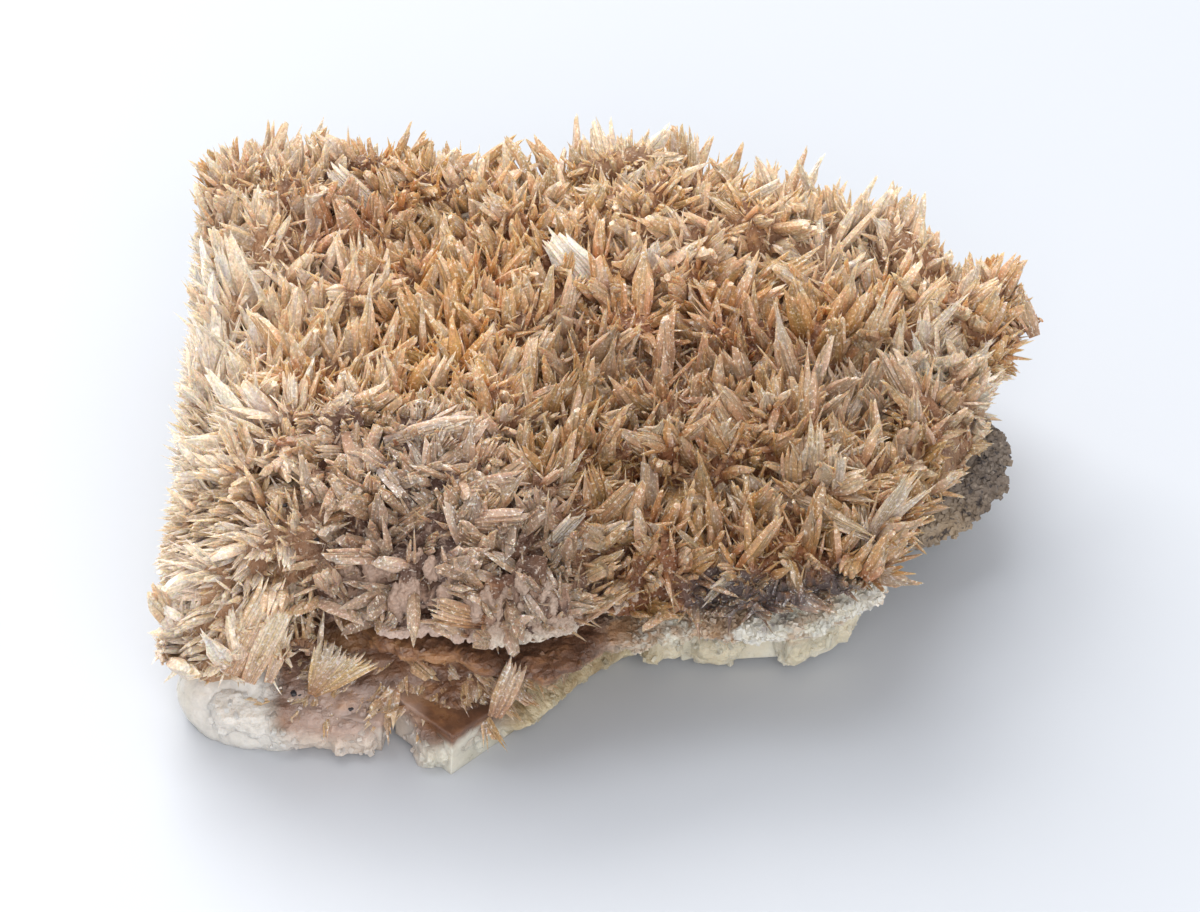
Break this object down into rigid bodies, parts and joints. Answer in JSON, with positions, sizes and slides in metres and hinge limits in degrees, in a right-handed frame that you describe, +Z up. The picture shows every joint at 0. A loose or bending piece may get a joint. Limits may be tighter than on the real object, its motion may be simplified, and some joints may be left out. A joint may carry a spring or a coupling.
{
  "type": "inesite specimen",
  "caption": "Mat of flat, lance-tipped tan inesite blades on a thin bed of white quartz and calcite, with a knob of dark rock under its right end.",
  "frame": {"origin": "middle of the specimen seen from above, on the surface it rests on", "axes": "+X along the specimen towards its dark rock knob, -Y towards its long front edge, +Z up"},
  "size_m": [0.0528, 0.0432, 0.0165],
  "materials": {
    "quartz": "milky white quartz and calcite, stained orange brown along the front",
    "dark_rock": "rough dull dark brown-grey",
    "inesite": "silky to glassy brownish pink, cleaved along each blade"
  },
  "bodies": {
    "root": {"quartz_bed": "quartz", "host_rock": "dark_rock", "inesite_crust": "inesite", "shelf_spray": "inesite", "shelf_blade": "inesite"}
  },
  "joints": []
}
